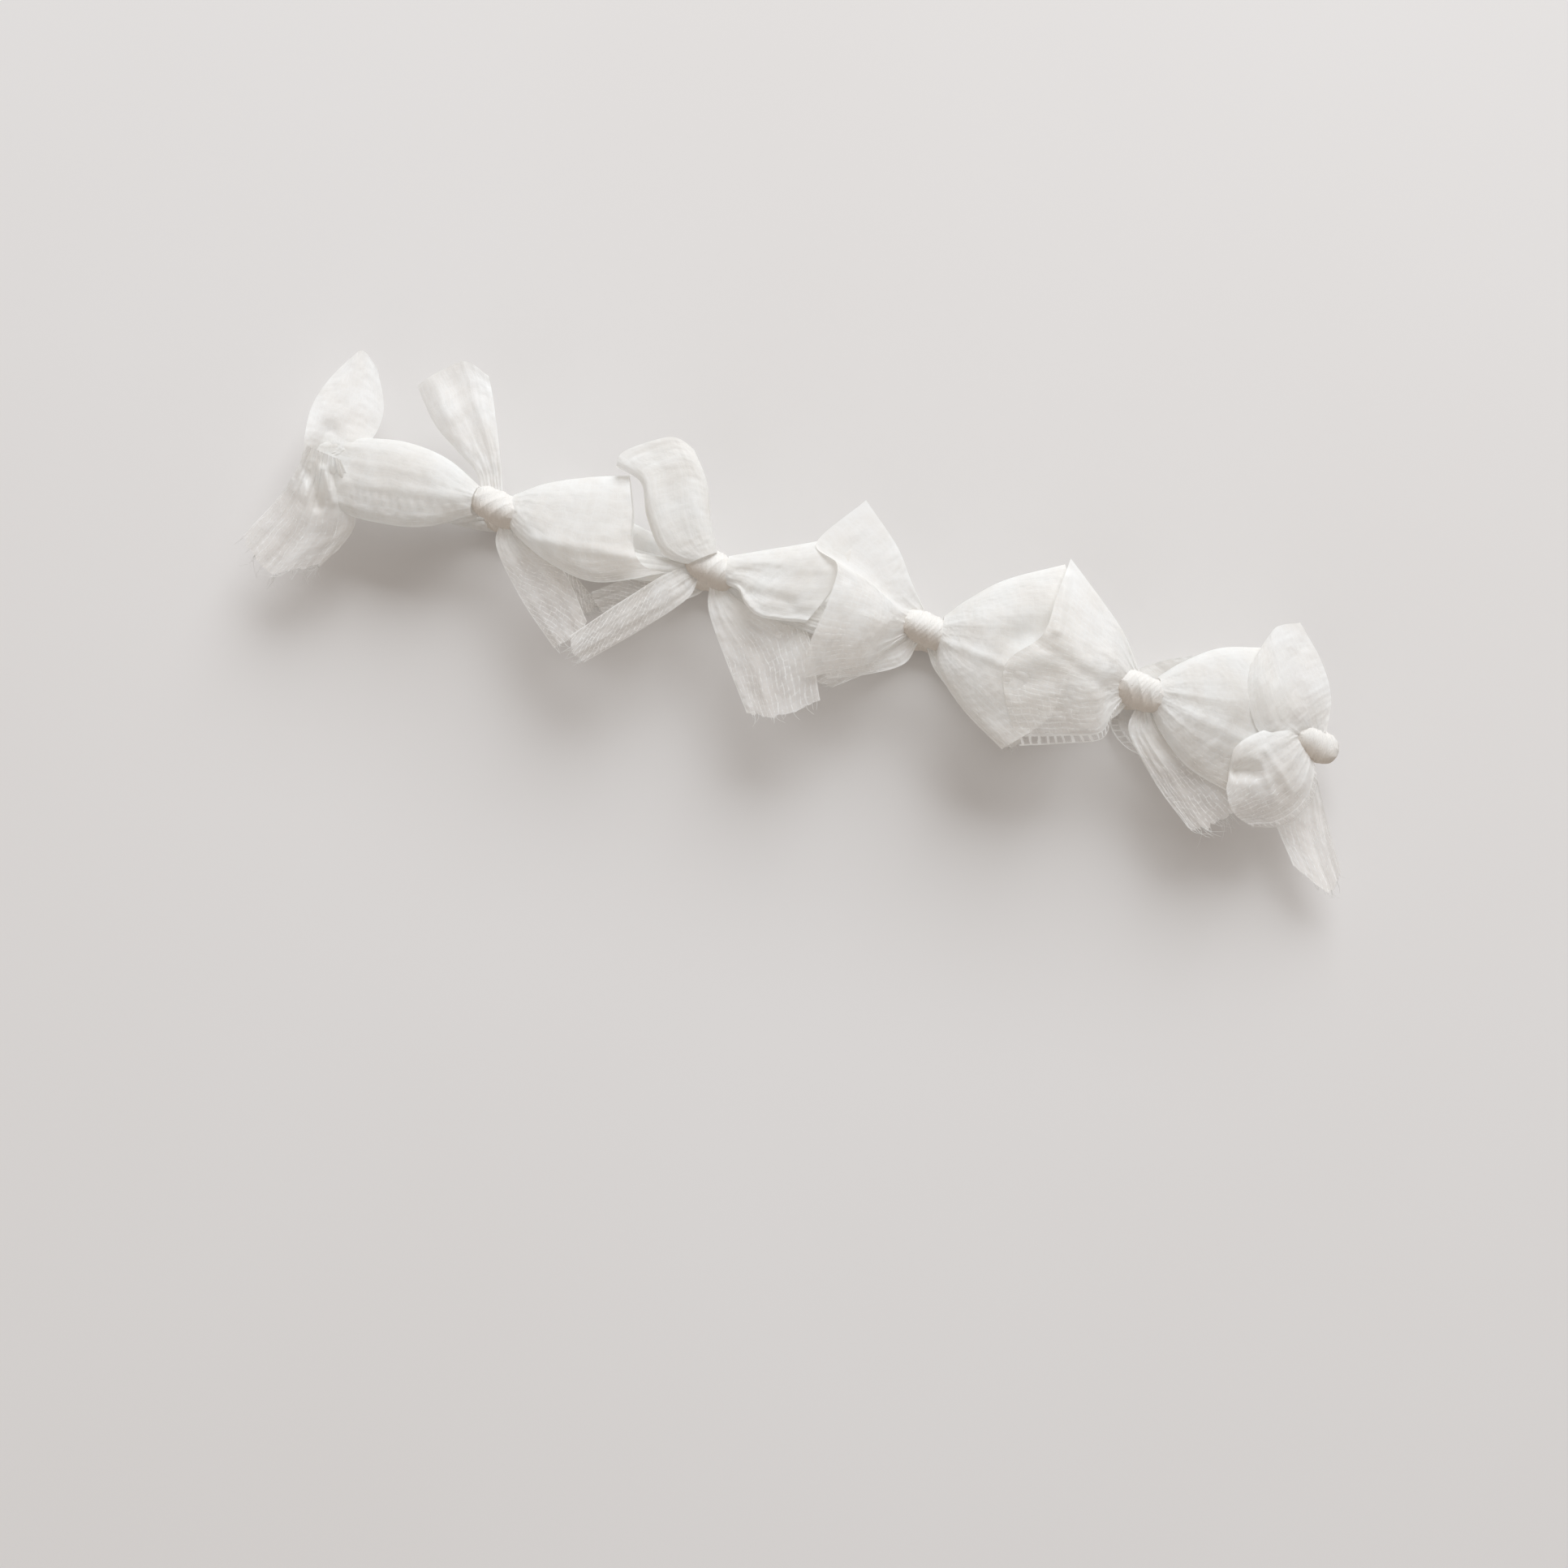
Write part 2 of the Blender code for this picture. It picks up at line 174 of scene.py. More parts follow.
TAILS = {
    2: dict(low=((1.5, -3.5, -1), (2.5, -10, -1.2), (12, -20.8, -1.5), (23.6, -30.6, -1)),
            far=((27.5, -27, -1),),
            high=((4, -2.5, -0.5), (10, -6.6, -0.8), (20, -10.4, -1), (30, -21.8, -0.6)),
            ply=(0.9, 0.12, 0.3), bulge=1.2, slant=-0.6, rag=0.4),
    3: dict(low=((0.5, -4, -1), (2.4, -11, -1), (10.5, -22.4, -1), (18.8, -33.2, -0.5)),
            far=((26.8, -31.8, -0.5),),
            high=((4.5, -3, -0.5), (14, -5, -0.5), (27, -8, -0.3), (36, -25, -0.2)),
            ply=(0.92, 0.35, 0.3), bulge=1.0, rag=0.5),
    4: dict(low=((1.5, -4.5, -1), (5.4, -9.6, -1.2), (15, -16.4, -1.5), (27, -23.4, -1)),
            far=((30.5, -22, -1),),
            high=((4.5, -3.5, -0.5), (12, -7, -0.8), (22, -9, -1), (33, -14, -1)),
            ply=(0.95, 0.5, 0.5), bulge=1.2, rag=0.2),
    5: dict(low=((0.5, -4, -0.8), (0.5, -11, -1), (11, -21.5, -1), (23, -30.5, -0.6)),
            far=((27, -29.5, -0.6), (31, -26, -0.6), (35, -20, -0.6)),
            high=((4.5, -3, -0.8), (13, -5, -1), (25, -5, -1), (38, -8, -1)),
            ply=(0.9, 0.1, 0.3), bulge=0.8, rag=1.4, pleat=0.9),
}
# The free ends that stick out past the two end knots. They belong to back strips, whose s runs the
# other way and whose w points down.
END_LEAF = dict(low=((5.0, 0, -7.4), (6.2, 5, -6.4), (6.6, 12.5, -3), (4.6, 20, -2),
                     (1, 27, -1.6)),
                far=((-2, 30, -1.6),),
                high=((-2.6, 1, -7.2), (-7.5, 4, -6.4), (-10.8, 10.5, -3.6), (-10.8, 18, -2.2),
                      (-6.8, 26.6, -1.6)),
                ply=(1, 1, 1), bulge=-2.2, pleat=0.25,
                creases=((2.5, 0, 0.5, 7, 3.4, 3.0, 0),))
END_SPRAY = dict(low=((4.6, 1.6, -9.8), (6, -6, -6.6), (8.6, -13, -3), (14.4, -24.6, -0.5)),
                 far=((10.5, -28.4, -0.5), (6.8, -31.4, -0.5), (1.5, -31, -0.5), (-4.6, -27.4, -0.5)),
                 high=((-4.4, 0.6, -9.6), (-9.4, -6, -6), (-12, -14, -3), (-9.4, -22, -1)),
                 ply=(0.9, 0.25, 0.5), bulge=-2.2, rag=1.8, pleat=1.5,
                 creases=((2.5, -4, -2, -12, 1.3, 2.4, 0), (-1, -3, -5.5, -10, 1.2, -1.2, 0),
                          (-3, -3, -8, -8, 1.0, 1.8, 0)))
END_TAIL = dict(low=((1, -3.5, 2.4), (-4, -9, 4.8), (-9.5, -19, 4.8), (-16, -30, 4)),
                far=((-14.5, -36, 4),),
                high=((3.4, -3, 3.4), (5.4, -10, 6), (4.6, -20, 6.2), (-4, -32, 4.8)),
                ply=(0.9, 0.3, 0.4), bulge=1.0, rag=0.6)
# The back run's strips are cut like these front ones, and lie flatter because the crown rests on them.
CUT_LIKE = {6: 5, 7: 4, 8: 3, 9: 2, 10: 1}
BACK_RISE = 0.5
BACK_DROP = 0.6
BACK_DEPTH = 0.6

FULL_SIZE = (1.0, 1.0, 1.0)
RAISED = (1.0, BACK_RISE, BACK_DEPTH)
HANGING = (1.0, BACK_DROP, BACK_DEPTH)
# Each kind of sheet: its cuts, the back run's scale along s, v and w, the strips that are cut their own
# way with their own scale, its first seed, whether it grows from a strip's second knot, and the CAD
# solid and the finish that it stands for.
SHEETS = {
    "flared_sheet": dict(cuts=FLARES, back_run=RAISED, own={}, seed=100, second_knot=False, node=None,
                         slot="gauze_span"),
    "folded_ear": dict(cuts=EARS, back_run=RAISED, own={10: (END_LEAF, FULL_SIZE)}, seed=200,
                       second_knot=True, node="ear", slot="gauze_ear"),
    "net_drape": dict(cuts=DRAPES, back_run=HANGING, own={10: (END_SPRAY, FULL_SIZE)}, seed=300,
                      second_knot=True, node="drape", slot="gauze_net"),
    "net_tail": dict(cuts=TAILS, back_run=HANGING,
                     own={6: (END_TAIL, FULL_SIZE), 10: (TAILS[4], (1.0, 0.36, BACK_DEPTH))}, seed=400,
                     second_knot=False, node="tail", slot="gauze_net"),
}
TABLE_SIDE = 3.0  # metres, from the middle to each edge
TABLE_COLOURS = ("#DAD6D2", "#E0DEDC")
LAMP_COLOUR = "#F2F8FF"
LAMPS = (("window", (0.0, 1.8, 1.3), 57.0, 1.6), ("fill", (-0.5, -1.0, 1.1), 2.4, 1.4))  # m, m, W, m
AIR_COLOUR = "#FFF5ED"
AIR_STRENGTH = 0.42
VIEW_WIDTH = 0.401  # metres, at the height of the front run
VIEW_MIDDLE = (0.0044, -0.0480)
VIEW_ROLL = math.radians(15.9)
LENS, SENSOR = 50.0, 36.0


# ---------------------------------------------------------------- shapes

def next_knot(number):
    """The knot at strip number's far end, as the strips close in a loop."""
    return number % COUNT + 1


def strip_frame(number):
    """Start, length and the three directions (along, up, out of the loop) of strip number, in metres."""
    ends = []
    for knot in (number, next_knot(number)):
        low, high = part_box(f"knot_{knot}")
        ends.append((np.array(low) + np.array(high)) / 2)
    run = ends[1] - ends[0]
    length = float(np.linalg.norm(run))
    along = run / length
    upper = np.array((0.0, 1.0, 0.0))
    return ends[0], length, np.array((along, upper, np.cross(along, upper)))


def placed(points, number, second_knot):
    """Points in a strip's frame, in millimetres from its first or second knot, as places in metres."""
    start, length, axes = strip_frame(number)
    origin = start + axes[0] * length * second_knot
    return origin + (np.asarray(points) * MM) @ axes


def above_table(spots):
    """The places with none lower than the table's clearance."""
    spots[:, 2] = np.maximum(spots[:, 2], FLOOR_CLEAR * MM)
    return spots


def smooth_curve(points, way):
    """A curve through the points: between two of them it is the cubic set by them and their neighbours."""
    p = np.asarray(points, float)
    p = np.vstack([2 * p[0] - p[1], p, 2 * p[-1] - p[-2]])
    x = np.clip(way, 0, 1) * (len(p) - 3)
    i = np.minimum(x.astype(int), len(p) - 4)
    f = (x - i)[:, None]
    a, b, c, d = p[i], p[i + 1], p[i + 2], p[i + 3]
    return 0.5 * (2 * b + (c - a) * f + (2 * a - 5 * b + 4 * c - d) * f**2
                  + (3 * b - a - 3 * c + d) * f**3)


def four_edge_patch(edges, v, t):
    """The patch between four edges at each v along it and t across it: the side edges blended across,
    plus the knot and far edges blended along, less the flat patch of the corners, which both hold."""
    low, far, high = (edges[k] for k in ("low", "far", "high"))
    side_low = smooth_curve(low, v)[:, None]
    side_high = smooth_curve(high, v)[:, None]
    near = smooth_curve((low[0], high[0]), t)[None]
    end = smooth_curve((low[-1], *far, high[-1]), t)[None]
    v, t = v[:, None, None], t[None, :, None]
    corners = ((1 - v) * ((1 - t) * np.array(low[0]) + t * np.array(high[0]))
               + v * ((1 - t) * np.array(low[-1]) + t * np.array(high[-1])))
    return (1 - t) * side_low + t * side_high + (1 - v) * near + v * end - corners


def crinkle(x, y, seed, shortest, longest, waves=14):
    """Creased cloth's relief, between about -1 and 1: a sum of waves whose lengths lie between shortest
    and longest, in seeded directions, each bent a little by the one before it."""
    rng = np.random.default_rng(seed)
    total = np.zeros(np.broadcast(x, y).shape)
    bend = 0.0
    for _ in range(waves):
        length = math.exp(rng.uniform(math.log(shortest), math.log(longest)))
        angle = rng.uniform(0, math.tau)
        wave = np.sin(math.tau * (x * math.cos(angle) + y * math.sin(angle)) / length
                      + rng.uniform(0, math.tau) + bend)
        bend = 0.7 * wave
        total += wave * (length / longest) ** 0.6
    return total / math.sqrt(waves)


def ridge(x):
    """A wave with sharp crests and wide round troughs, between -1 and 1, one crest for each whole x."""
    return 1 - 2 * np.abs(np.sin(math.pi * x)) ** 0.75


def pleats(v, t, seed, strength):
    """Folds that run out from the knot: many narrow ones that die away within a third of the sheet, and
    a few broad ones that last to its far edge. Each row is how many crests lie across the sheet, their
    height at the knot and far away, and how far out that height falls off."""
    rng = np.random.default_rng(seed)
    total = np.zeros(np.broadcast(v, t).shape)
    for crests, near, far, reach in ((11, 0.26, 0.0, 0.16), (7, 0.42, 0.05, 0.28),
                                     (3.3, 0.5, 0.25, 0.5), (1.7, 0.2, 0.35, 0.8)):
        sway = rng.uniform(-0.25, 0.25) * np.sin(v * rng.uniform(2, 5))
        height = far + (near - far) * np.exp(-v / reach)
        total += height * ridge(crests * t + rng.uniform(0, 1) + sway)
    return strength * total


def creased(s, v, creases):
    """The lift of a sheet's creases: along each line a rounded fold that falls off with distance from
    it, shaped like a bell, and rippled by a sine along the line where it has ruffles."""
    lift = np.zeros_like(s)
    for s0, v0, s1, v1, width, height, pitch in creases:
        run = np.array((s1 - s0, v1 - v0), float)
        length = float(np.linalg.norm(run))
        run /= length
        along = (s - s0) * run[0] + (v - v0) * run[1]
        way = np.clip(along, 0, length)
        off = np.hypot(s - s0 - way * run[0], v - v0 - way * run[1])
        fold = height * np.exp(-((off / width) ** 2))
        if pitch:
            fold = fold * (0.5 + 0.8 * np.sin(math.tau * along / pitch + 1.2 * np.sin(along / 3)))
        lift += fold
    return lift


def smooth_step(x, start, end):
    """0 before start, 1 after end, and a cubic between them."""
    f = np.clip((x - start) / (end - start), 0, 1)
    return f * f * (3 - 2 * f)


def span_lengths(grid):
    """How long a sheet's ribs are on average, and its surface, in the grid's own unit."""
    along = np.linalg.norm(np.diff(grid, axis=0), axis=2)
    a = grid[1:, 1:] - grid[:-1, :-1]
    b = grid[1:, :-1] - grid[:-1, 1:]
    surface = 0.5 * np.linalg.norm(np.cross(a, b), axis=2).sum()
    return float(along.sum(axis=0).mean()), float(surface)


def grid_faces(rows, cols, flip, closed=False):
    """Four-cornered faces of a grid, with the last column joined to the first if it is closed."""
    r = np.arange(rows - 1)[:, None] * cols
    c = np.arange(cols if closed else cols - 1)[None, :]
    after = (c + 1) % cols
    faces = np.stack([r + c, r + cols + c, r + cols + after, r + after], axis=-1).reshape(-1, 4)
    return faces[:, ::-1] if flip else faces


def per_point(shape, *values):
    """Values that spread over a grid's shape, as one row of them for each of its points."""
    return np.stack([np.broadcast_to(value, shape) for value in values], axis=-1).reshape(-1, len(values))


def make_object(name, verts, faces, uv, rim, ply, paint):
    """A mesh object with its weave map, in millimetres of flat ribbon, its rim map (distance from the
    nearer side edge in millimetres, and whether that side has a ladder hem), and its ply: how dense the
    gauze is on a sheet, and on a knot the mask of its painted shade."""
    mesh = bpy.data.meshes.new(name)
    mesh.from_pydata(verts.tolist(), [], faces.tolist())
    corner = np.empty(len(mesh.loops), dtype=np.int32)
    mesh.loops.foreach_get("vertex_index", corner)
    for layer, values in (("weave", uv), ("rim", rim)):
        made = mesh.uv_layers.new(name=layer)
        made.data.foreach_set("uv", values[corner].astype(np.float32).ravel())
    layers = mesh.attributes.new("ply", "FLOAT", "POINT")
    layers.data.foreach_set("value", ply.astype(np.float32))
    mesh.polygons.foreach_set("use_smooth", np.ones(len(mesh.polygons), dtype=bool))
    mesh.materials.append(paint)
    mesh.validate()
    made = bpy.data.objects.new(name, mesh)
    bpy.context.scene.collection.objects.link(made)
    return made


def loose_threads(grid, seed, count, longest):
    """Frayed threads off a sheet's far edge: three-sided tubes that go on from its ribs, swing to a side
    with the square of the way along them, and thin to half. Returns their vertices and faces, in the
    grid's unit."""
    rng = np.random.default_rng(seed)
    steps, sides, radius = 6, 3, 0.085
    way = np.linspace(-0.12, 1, steps)[:, None]
    thin = radius * (1 - 0.5 * np.clip(way, 0, 1))
    angle = (math.tau * np.arange(sides) / sides)[:, None, None]
    k, r = np.arange(sides)[:, None] * steps, np.arange(steps - 1)[None]
    after = (k + steps) % (sides * steps)
    tube = np.stack([k + r, k + r + 1, after + r + 1, after + r], axis=-1).reshape(-1, 4)
    verts, faces = [], []
    for thread in range(count):
        c = int(rng.uniform(0.02, 0.98) * (grid.shape[1] - 1))
        start = grid[-1, c]
        heading = start - grid[-5, c]
        heading = heading / max(np.linalg.norm(heading), 1e-6)
        side = np.array((-heading[1], heading[0], 0.0))
        length = longest * rng.uniform(0.25, 1.0)
        curl = rng.uniform(-0.9, 0.9) * way**2 + rng.uniform(-0.3, 0.3) * np.abs(way)
        lift = np.array((0, 0, rng.uniform(-0.35, 0.5)))
        path = start + length * (heading * way + side * curl + lift * way**2)
        off = side * np.cos(angle) + np.array((0, 0, 1.0)) * np.sin(angle)
        verts.append((path + thin * off).reshape(-1, 3))
        faces.append(tube + thread * sides * steps)
    return np.vstack(verts), np.vstack(faces)


def in_scale(edges, scale):
    """The same cut with its edges scaled along s, v and w."""
    return {key: [tuple(np.multiply(p, scale)) for p in value] if key in ("low", "far", "high") else value
            for key, value in edges.items()}


def round_section(cols):
    """Angles round a rolled sheet's section, whose two sides lap a little."""
    return np.linspace(*ROLL, cols) * math.tau


def sheet_surface(edges, scale, seed):
    """A sheet's grid in its strip's frame, with v along it, t across it, and its flat places x along and
    y across the ribbon. The grid is the patch between its edges. Pleats, creases and crinkles lift it
    along w, as does its bulge, a half wave across it. A sheet with a back is rolled into a flattened
    cone: going round, t swings from side to side as a cosine while w swings as a sine between bulge and
    back. A lip is a bell along the low edge."""
    edges = in_scale(edges, scale)
    flatten = scale[2]
    rolled = "back" in edges
    rib, surface = span_lengths(four_edge_patch(edges, np.linspace(0, 1, 12), np.linspace(0, 1, 12)))
    flat_width = surface / rib
    rows = int(max(rib / ROW_STEP, LEAST_ROWS))
    cols = int(max(flat_width / ROW_STEP * (2.3 if rolled else 1.2), LEAST_COLS))
    v = np.linspace(0, 1, rows)
    if rolled:
        turn = round_section(cols)
        t = (1 - np.cos(turn)) / 2
        swing = np.sign(np.sin(turn)) * np.abs(np.sin(turn)) ** 0.8
        around = (turn - turn[0]) / math.tau
    else:
        t = np.linspace(0, 1, cols)
        swing = np.sin(math.pi * t) ** 0.8
        around = t
    grid = four_edge_patch(edges, v, t)
    v, t, around, swing = v[:, None], t[None], around[None], swing[None]
    x = v * rib
    y = around * flat_width * (ROLLED_CLOTH if rolled else OPEN_CLOTH)
    bulge = edges["bulge"] * flatten
    full = smooth_step(v, 0.0, 0.5) * (1 - edges.get("tuck", 0.3) * smooth_step(v, 0.55, 1.0))
    if rolled:
        neck = NECK * (flatten * 0.3 + 0.7)
        front = neck + (bulge - neck) * full
        rear = neck + (edges["back"] * flatten - neck) * full
        height = np.where(swing > 0, front, rear) * swing * (1 + 0.05 * around)
        facing = swing * smooth_step(v, 0, 0.2)
    else:
        height = bulge * full * swing
        facing = 1.0
    height += facing * pleats(v, around * (ROLLED_CLOTH if rolled else 1), seed, edges.get("pleat", 0.48))
    height += facing * 0.24 * crinkle(x, y, seed + 1, 6, 18) * smooth_step(v, 0.1, 0.5)
    height += 0.08 * crinkle(x, y, seed + 2, 1.4, 5)
    if "creases" in edges:
        upper = np.where(swing > -0.2, 1.0, 0.0)
        height += upper * flatten * creased(grid[:, :, 0] / scale[0], grid[:, :, 1] / scale[1],
                                            edges["creases"])
    height += edges.get("lip", 0.0) * np.exp(-((t / 0.07) ** 2)) * smooth_step(v, 0.0, 0.3)
    grid[:, :, 2] += height
    return grid, v, t, x, y, flat_width


def pull_ragged(grid, v, y, rag, seed):
    """Pushes a grid's far edge out and back along its ribs, as far as a crinkle across it says."""
    push = crinkle(y, 0, seed, 1.2, 8.0) * smooth_step(v, 0.75, 1.0)
    reach = grid[-1] - grid[-6]
    reach /= np.linalg.norm(reach, axis=1, keepdims=True)
    grid += (0.8 * rag * push)[:, :, None] * reach[None]


def gauze_sheet(name, number, second_knot, edges, seed, scale):
    """One sheet of gauze that fans out from a knot. Its ply goes smoothly from the knot's to the far
    corners', and is mottled by a crinkle. Its far edge may be ragged, with loose threads."""
    grid, v, t, x, y, flat_width = sheet_surface(edges, scale, seed)
    rows, cols = grid.shape[:2]
    rag = edges.get("rag", 0.0)
    if rag:
        pull_ragged(grid, v, y, rag, seed + 3)
    verts = grid.reshape(-1, 3)
    faces = grid_faces(rows, cols, not second_knot)
    slant = edges.get("slant", 0.0)
    uv = per_point((rows, cols), y + slant * x, x - slant * y)
    hem = edges.get("ladder", 0.0) * (t < 0.5)
    rim = per_point((rows, cols), flat_width * np.minimum(t, 1 - t), hem)
    knot, at_low, at_high = edges["ply"]
    dense = knot + (at_low + (at_high - at_low) * t - knot) * smooth_step(v, 0.15, 0.75)
    ply = np.clip(dense + 0.12 * crinkle(x, y, seed + 4, 4, 12), 0, 1).reshape(-1)
    if rag:
        more, tubes = loose_threads(grid, seed + 5, int(16 * rag) + 8, 2.2 + 1.6 * rag)
        on_thread = 0.5 * bpy.context.scene.gauze_crown_looks.warp_pitch / MM
        faces = np.vstack([faces, tubes + len(verts)])
        verts = np.vstack([verts, more])
        uv = np.vstack([uv, np.full((len(more), 2), on_thread)])
        rim = np.vstack([rim, np.zeros((len(more), 2))])
        ply = np.concatenate([ply, np.ones(len(more))])
    spots = above_table(placed(verts, number, second_knot))
    made = make_object(name, spots, faces, uv, rim, ply, paint_named("leno gauze"))
    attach(made, f"strip_{number}")
    knot = next_knot(number) if second_knot else number
    return made


def make_sheets(kind):
    """Makes every sheet of a kind. A strip takes its own cut if it has one. Otherwise a front strip takes
    its cut as it stands, and a back strip takes its like front strip's cut, flattened."""
    rules = SHEETS[kind]
    for number in range(1, COUNT + 1):
        cut = CUT_LIKE.get(number, number)
        if number in rules["own"]:
            edges, scale = rules["own"][number]
        elif cut in rules["cuts"]:
            edges = rules["cuts"][cut]
            scale = rules["back_run"] if number in CUT_LIKE else FULL_SIZE
        else:
            continue
        made = gauze_sheet(f"{kind}_{number}", number, rules["second_knot"], edges,
                           rules["seed"] + number, scale)
        if rules["node"]:
            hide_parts(f"{rules['node']}_{number}")


def gathered_core(number, seed):
    """The roped middle of a strip from knot to knot: a sheet rolled once round, whose oval section swells
    towards mid-length, with grooves along it that twist on the way. The roll laps over itself a little.
    A front strip's middle sags twice as far."""
    length = strip_frame(number)[1] / MM
    rows, cols = int(length / ROW_STEP), 120
    v = np.linspace(0, 1, rows)[:, None]
    a = round_section(cols)[None]
    swell = np.sin(math.pi * v) ** 0.7
    half_width = 2.4 + 1.2 * swell
    half_depth = 1.6 + 0.8 * swell
    sag = CORE_SAG * (1 if number in CUT_LIKE else 2) * np.sin(math.pi * v) ** 0.5
    grooves = 1 + 0.05 * ridge(11 * a / math.tau + 0.25 * v) + 0.03 * ridge(23 * a / math.tau - 0.4 * v)
    grooves = grooves + 0.06 * a / math.tau
    s = CORE_ENDS + (length - 2 * CORE_ENDS) * v
    up = half_width * grooves * np.cos(a) - sag
    out = half_depth * grooves * np.sin(a) - 0.4 + 0.25 * crinkle(s, 3 * a, seed, 3, 9)
    spots = placed(per_point((rows, cols), s, up, out), number, False)
    uv = per_point((rows, cols), 4 * a, s)
    rim = per_point((rows, cols), 9.0, 0.0)
    made = make_object(f"gathered_core_{number}", spots, grid_faces(rows, cols, False), uv, rim,
                       np.full(rows * cols, 0.85), paint_named("leno gauze"))
    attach(made, f"strip_{number}")
    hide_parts(f"ribbon_{number}")
    return made


def wrapped_knot(number, seed):
    """A tied knot: a leaning barrel whose radius falls off towards both ends, with two wraps of ribbon
    that cross its waist on a slant and fine pleats along them. Its section is a little lumpy. Its ply
    attribute holds the mask of a painted shade: 1 on the upper side, towards the lamp, falling to 0 below."""
    rider = (number - 2) % COUNT + 1
    rows, cols = 90, 110
    x = np.linspace(-1, 1, rows)[:, None]
    a = np.linspace(0, math.tau, cols, endpoint=False)[None]
    barrel = np.sqrt(np.clip(1 - np.abs(x) ** 3.4, 0, 1))
    wrap = np.exp(-((np.sin((a - 1.3 * x) / 2 + seed) / 0.5) ** 2)) * np.exp(-((x / 0.75) ** 2))
    broad = 0.03 * ridge(2.3 * (x - 0.45 * np.sin(a + seed)) + 0.5 * x**2) * np.exp(-((x / 0.7) ** 4))
    fine = 0.012 * ridge(6 * (x - 0.3 * np.sin(a + 2 * seed))) * np.exp(-((x / 0.8) ** 4))
    lumps = 0.05 * np.sin(2 * a + 3 * seed) + 0.035 * np.sin(3 * a + 2 * x + seed)
    ends = 0.05 * ridge(9 * a / math.tau + 0.3 * x) * smooth_step(np.abs(x), 0.5, 0.9)
    size = KNOT_SIZES.get(number, 1.0)
    radius = KNOT_RADIUS * size * barrel * (1 + 0.11 * wrap + broad + fine + lumps + ends)
    s, up, out = KNOT_HALF_LENGTH * size * x, radius * np.cos(a), radius * np.sin(a)
    grid = per_point((rows, cols), s * math.cos(KNOT_LEAN) - up * math.sin(KNOT_LEAN),
                     s * math.sin(KNOT_LEAN) + up * math.cos(KNOT_LEAN), out)
    spots = above_table(placed(grid, rider, True))
    uv = per_point((rows, cols), s, KNOT_RADIUS * a)
    # Painted shade mask: 1 on the knot's upper side, towards the lamp, and 0 on its lower side, which the
    # material paints a warmer tan. It is stored as the ply attribute.
    above = per_point((rows, cols), 1 - smooth_step(-np.cos(a), -0.2, 0.8))
    made = make_object(f"wrapped_knot_{number}", spots, grid_faces(rows, cols, False, closed=True), uv,
                       np.zeros((rows * cols, 2)), above.reshape(-1), paint_named("pulled gauze"))
    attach(made, f"strip_{rider}")
    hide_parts(f"knot_{number}")
    return made


# ---------------------------------------------------------------- materials

MATH = "ShaderNodeMath"
MIX = "ShaderNodeMix"
NOISE = "ShaderNodeTexNoise"
RANGE = "ShaderNodeMapRange"
VECTOR = "ShaderNodeVectorMath"
SMOOTH = "SMOOTHSTEP"


def linear(code, alpha=1.0):
    """An sRGB hex colour as the linear values that a shader takes."""
    parts = [int(code[k:k + 2], 16) / 255 for k in (1, 3, 5)]
    return tuple(c / 12.92 if c <= 0.04045 else ((c + 0.055) / 1.055) ** 2.4 for c in parts) + (alpha,)


def add_node(tree, kind, *first, links=(), **settings):
    """A node with its settings and inputs. first fills its inputs in order from the first one, and links
    holds (input, source) for others. A source is a node, which gives its first output, or an output or a
    value."""
    node = tree.nodes.new(kind)
    for name, value in settings.items():
        setattr(node, name, value)
    for where, source in (*enumerate(first), *links):
        if isinstance(source, bpy.types.Node):
            source = source.outputs[0]
        if isinstance(source, bpy.types.NodeSocket):
            tree.links.new(source, node.inputs[where])
        else:
            node.inputs[where].default_value = source
    return node


def new_paint(name):
    """An empty material, and add_node for its tree."""
    paint = bpy.data.materials.new(name)
    paint.use_nodes = True
    paint.node_tree.nodes.clear()
    return paint, functools.partial(add_node, paint.node_tree)


def thread_lines(node, place, pitch, half_width, blur=0.16):
    """1 on threads that lie pitch apart across place, 0 between them, with soft edges: the distance from
    the middle of each pitch, as a share of it, mapped down from half_width over blur."""
    share = node(MATH, node(MATH, place, pitch, operation="DIVIDE"), operation="FRACT")
    off = node(MATH, node(MATH, share, 0.5, operation="SUBTRACT"), operation="ABSOLUTE")
    return node(RANGE, off, half_width, half_width + blur, 1.0, 0.0, interpolation_type=SMOOTH)


def soft_cloth(node, colour, rough, bump, specular, sheen, sheen_rough, through):
    """Matt cloth that lets a share of the light through."""
    cloth = node("ShaderNodeBsdfPrincipled", links=(
        ("Base Color", colour), ("Roughness", rough), ("Normal", bump), ("Metallic", 0.0), ("IOR", 1.5),
        ("Specular IOR Level", specular), ("Sheen Weight", sheen), ("Sheen Roughness", sheen_rough)))
    glow = node("ShaderNodeBsdfTranslucent", links=(("Color", colour), ("Normal", bump)))
    return node("ShaderNodeMixShader", through, cloth, glow)


